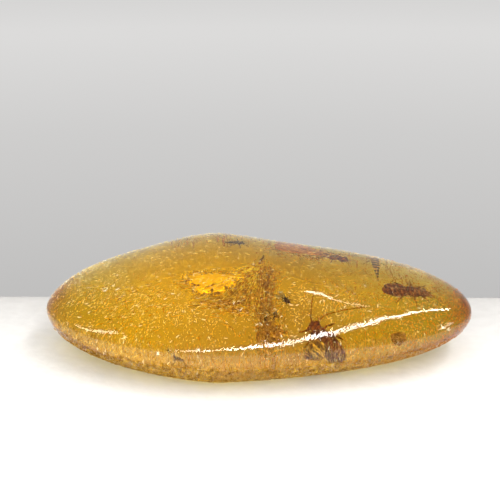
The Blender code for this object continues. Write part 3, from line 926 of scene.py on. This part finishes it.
def makeStrokes(kind):
    # short slivers in and under the skin, each lying along it
    chance = Random(kind["seed"])
    ranges = [kind[axis] for axis in ("across", "deep", "up")]
    gathered = kind["gathered"]
    routes = []
    while len(routes) < kind["count"]:
        unit = skinUnit(chance)
        place = copalPoint(unit, chance.uniform(*kind["depth"]) * mm)
        if not all(low < part / mm < high for part, (low, high) in zip(place, ranges)):
            continue
        if gathered and chance.random() > (place.x / mm - ranges[0][0]) / gathered:
            continue
        leftward = min(1, max(0, -place.x / (kind["leftEnd"] * mm)))
        spread = kind["spread"] + (1 - leftward) * kind["wilder"]
        heading = kind["heading"] + chance.uniform(-spread, spread)
        if unit.z < kind["rim"] and chance.random() < kind["upright"]:
            heading = chance.gauss(*kind["uprightHeading"])
        elif kind["uprightOnly"]:
            continue
        out = Vector((unit.x * 0.3, unit.y, unit.z * 2.5)).normalized()
        sideways = Vector((0, 1, 0)).cross(out) if abs(unit.y) < 0.5 else out.cross(Vector((0, 0, 1)))
        sideways.normalize()
        along = sideways * cos(radians(heading)) + out.cross(sideways) * sin(radians(heading))
        size = chance.random() ** 3
        length, radius = [(low + size * (high - low)) * mm for low, high in (kind["length"], kind["radius"])]
        half = along * length / 2
        routes.append([(*(place - half), radius * 0.5), (*(place + half), radius)])
    bm = bmesh.new()
    addThreads(bm, routes, 0)
    finishPiece(kind["name"], bm, [strokeFinish(kind)], "copal")


glintChips = {
    "seed": 61, "slivers": 9, "length": (0.2, 0.6), "radius": (0.03, 0.06), "tip": 0.015, "scatter": 0.2,
    "places": [
        (-16.2, -20.9, 7.3), (-21.8, -18.0, 9.0), (-9.5, -22.2, 8.6), (30.6, -11.5, 8.3), (31.9, -10.5, 7.6),
    ],
}


def makeGlintChips():
    # star-shaped chips in the rim's polish, near white: painted star glints where the rim sparkles
    chance, scatter = Random(glintChips["seed"]), glintChips["scatter"]
    routes = []
    for place in glintChips["places"]:
        for _ in range(glintChips["slivers"]):
            start = Vector(place) + Vector([chance.uniform(-scatter, scatter) for _ in range(3)])
            heading = radians(chance.uniform(0, 360))
            along = Vector((cos(heading), -0.2 * sin(heading), sin(heading)))
            end = start + along * chance.uniform(*glintChips["length"])
            routes.append([(*start, chance.uniform(*glintChips["radius"])), (*end, glintChips["tip"])])
    bm = bmesh.new()
    addThreads(bm, routes)
    stops = [(0.3, (1.0, 0.85, 0.55)), (0.7, (1.0, 0.97, 0.85))]
    finishLoose("glintChips", bm, speckled("paintedStarGlints", stops, 0.3, patternSpace, 1.0, 0.01), "copal")


gasFilm = {
    "place": (-7.6, -4.0), "above": 1.1, "heading": -3, "tip": 18, "length": 7.2, "width": 2.8,
    "bow": 0.7, "thick": 0.03,
}


def makeGasFilm():
    # a bowed film, widest at its back and pointed to the front, frayed all round
    bm = bmesh.new()
    bmesh.ops.create_grid(bm, x_segments=110, y_segments=56, size=1.0)
    frayed = []
    for vert in bm.verts:
        x, y = vert.co.xy
        narrow = 0.12 + 0.88 * ((y + 1) / 2) ** 0.8
        bow = gasFilm["bow"] * (1 - x ** 4) * (1 - y ** 4)
        bow += 0.08 * noise.noise(Vector((x * 3, y * 3, 1)))
        vert.co = Vector((x * gasFilm["length"] * narrow - (1 - y) * 0.3, y * gasFilm["width"], bow))
        if max(abs(x), abs(y)) > 0.8 + 0.35 * noise.noise(vert.co * 4) + 0.3 * noise.noise(vert.co * 1.1):
            frayed.append(vert)
    bmesh.ops.delete(bm, geom=frayed, context="VERTS")
    bmesh.ops.solidify(bm, geom=bm.faces[:], thickness=gasFilm["thick"])
    x, y = gasFilm["place"]
    placing = Matrix.Translation(Vector((x, y, bedHeight(y) + gasFilm["above"])) * mm)
    turn = bedTurn(gasFilm["heading"]) @ Matrix.Rotation(radians(gasFilm["tip"]), 4, "X")
    bmesh.ops.transform(bm, matrix=placing @ turn @ Matrix.Scale(mm, 4), verts=bm.verts)
    # deep yellow mirror tones: a painted glow that stands in for light focused onto the crack film
    stops = [(0.3, (0.75, 0.45, 0.0)), (0.5, (0.85, 0.54, 0.0)), (0.7, (0.95, 0.66, 0.01))]
    finishPiece("gasFilm", bm, [speckled("paintedGlowFilm", stops, 0.45, patternSpace, 0.7, 0.03, 1.0)], "copal")


for kind in (glints, topGlints, bronze, sparks, hem, darkStrokes, endStain, fringe):
    makeStrokes(kind)
makeGlintChips()
makeGasFilm()
print("cracks and films made")


studio = {
    "elevation": 20.0, "lens": 85.0, "target": (0, 0, 8.5 * mm), "targetPixel": (259.3, 302.4),
    "pixelsPerMm": 5.653, "frameWidth": 500, "ceiling": 0.5,
    "floorBack": 34.8 * mm, "floorFront": -0.9, "floorSide": 0.9, "floorThick": 0.03, "floorRound": 10 * mm,
    # the felt is painted darker from the last number here to its back edge, as shade where the light falls
    # off
    "floorDrop": 0.04 * mm, "floorShadeFrom": -0.1,
    # brightness of the room by the sine of the height above the horizon
    "walls": [
        (-1.0, 0.5), (-0.34, 0.52), (-0.2, 0.625), (-0.12, 0.72), (-0.04, 0.58), (0.1, 0.46), (0.35, 0.38),
        (0.6, 0.27), (1.0, 0.25),
    ],
    "dimSides": (0.3, 0.7, 1.0, 0.45),  # from straight ahead to the sides, the room's strength falls
    # size, place and brightness of each soft lamp
    "softBoxes": {
        "softBox": ((2.4, 2.4), (0, 0, 0.7), 0.98), "frontBox": ((1.6, 0.6), (0, -0.9, 0.32), 3.4),
    },
}


def makeFloor():
    # a slab of white felt that ends behind the pebble in a round edge
    bm = bmesh.new()
    bmesh.ops.create_cube(bm, size=1.0)
    back, front, thick = [studio["floor" + part] for part in ("Back", "Front", "Thick")]
    bmesh.ops.scale(bm, vec=(2 * studio["floorSide"], back - front, thick), verts=bm.verts)
    bmesh.ops.translate(bm, vec=(0, (back + front) / 2, -thick / 2 - studio["floorDrop"]), verts=bm.verts)
    topBack = [edge for edge in bm.edges if all(v.co.z > -0.001 and v.co.y > 0 for v in edge.verts)]
    bend = bmesh.ops.bevel(bm, geom=topBack, offset=studio["floorRound"], segments=24, profile=0.5,
                           affect="EDGES", material=-1)
    for face in bend["faces"]:
        face.smooth = True
    material, tree, shader = newMaterial("whiteFelt")
    # darker toward the back edge: painted shade where the lamps' light falls off across the table
    depth = rangeOf(tree, axisOf(tree, "Y", coordsOf(tree)), studio["floorShadeFrom"], back)
    fibres = noiseOf(tree, patternSpace(tree, (2.5, 2.5, 2.5)), 1.0, 6.0)
    tone = mathOf(tree, "MULTIPLY_ADD", fibres, 0.12, depth)
    stops = [(0.0, (0.88, 0.88, 0.87)), (0.6, (0.84, 0.83, 0.81)), (1.0, (0.46, 0.445, 0.425))]
    normal = bumpOf(tree, fibres, 0.3, 0.4)
    feed(tree, shader, {"Base Color": rampOf(tree, tone, stops), "Roughness": 0.95, "Normal": normal})
    mesh = meshOf(bm, "floor")
    mesh.materials.append(material)
    floor = placed("floor", mesh)


def makeWorld():
    # a grey room, a little brighter above the table's edge and dimmer overhead
    world = bpy.data.worlds.new("studio")
    world.use_nodes = True
    tree = world.node_tree
    skyward = coordsOf(tree, "Generated")
    height = mathOf(tree, "MULTIPLY_ADD", axisOf(tree, "Z", skyward), 0.5, 0.5)
    sideways = mathOf(tree, "ABSOLUTE", axisOf(tree, "X", skyward))
    greys = [((sine + 1) / 2, (level, level * 0.99, level * 0.98)) for sine, level in studio["walls"]]
    dimming = rangeOf(tree, sideways, *studio["dimSides"])
    feed(tree, tree.nodes["Background"], {"Color": rampOf(tree, height, greys), "Strength": dimming})
    scene.world = world


def addLamp(name, size, brightness, matrix):
    data = bpy.data.lights.new(name, "AREA")
    data.shape = "RECTANGLE"
    data.size, data.size_y = size
    data.energy = brightness * pi * data.size * data.size_y
    lamp = placed(name, data)
    lamp.matrix_world = matrix
    return lamp


def addStrip(name, start, end, width, brightness):
    # a strip lamp between two points of the ceiling, turned to face the pebble
    first, last = [Vector((*point, 1.0)) * studio["ceiling"] for point in (start, end)]
    along = (last - first).normalized()
    middle = (first + last) / 2
    facing = (middle - middle.project(along)).normalized()
    turn = Matrix((along, facing.cross(along), facing)).transposed().to_4x4()
    size = ((last - first).length, width * studio["ceiling"])
    addLamp(name, size, brightness, Matrix.Translation(middle) @ turn)


def addSoftBox(name, size, place, brightness):
    # a wide soft lamp that faces the pebble but isn't mirrored in its polish
    turn = Vector(place).to_track_quat("Z", "Y").to_matrix().to_4x4()
    lamp = addLamp(name, size, brightness, Matrix.Translation(place) @ turn)
    lamp.visible_glossy = lamp.visible_camera = False


def makeCamera():
    data = bpy.data.cameras.new("camera")
    data.lens = studio["lens"]
    camera = placed("camera", data)
    lift, width = radians(studio["elevation"]), studio["frameWidth"]
    distance = width / studio["pixelsPerMm"] * mm * data.lens / data.sensor_width
    camera.location = Vector(studio["target"]) + Vector((0, -cos(lift), sin(lift))) * distance
    across, down = [(pixel - width / 2) / width * data.sensor_width / data.lens
                    for pixel in studio["targetPixel"]]
    camera.rotation_euler = (pi / 2 - lift + atan(down), 0, atan(across))
    scene.camera = camera


makeFloor()
makeWorld()
tube = [(-1.6, -4.4, 0.2), (0.34, -3.2, 0.14), (0.56, -1.6, 0.07), (0.49, -0.45, 0.045), (0.56, 0.05, 0.04),
        (0.8, 0.42, 0.05), (1.3, 0.85, 0)]
for start, end in zip(tube, tube[1:]):
    addStrip("tube", start[:2], end[:2], start[2], 28)
addStrip("tubeEnd", (-6.0, -9.5), (-1.6, -4.4), 0.35, 10)
addStrip("farLamp", (0.25, 0.67), (0.3, 0.53), 0.018, 11)
addStrip("farLampEnd", (0.3, 0.53), (0.42, 0.38), 0.014, 5)
addStrip("leftLampBack", (-3.6, 0.24), (-2.9, -0.54), 0.2, 8)
addStrip("leftLamp", (-2.9, -0.54), (-1.45, -0.6), 0.18, 8)
addStrip("rightLamp", (5.2, -0.9), (3.2, 0.3), 0.5, 4)
for name, softBox in studio["softBoxes"].items():
    addSoftBox(name, *softBox)
makeCamera()
scene.view_settings.view_transform = "Standard"
print("studio made")
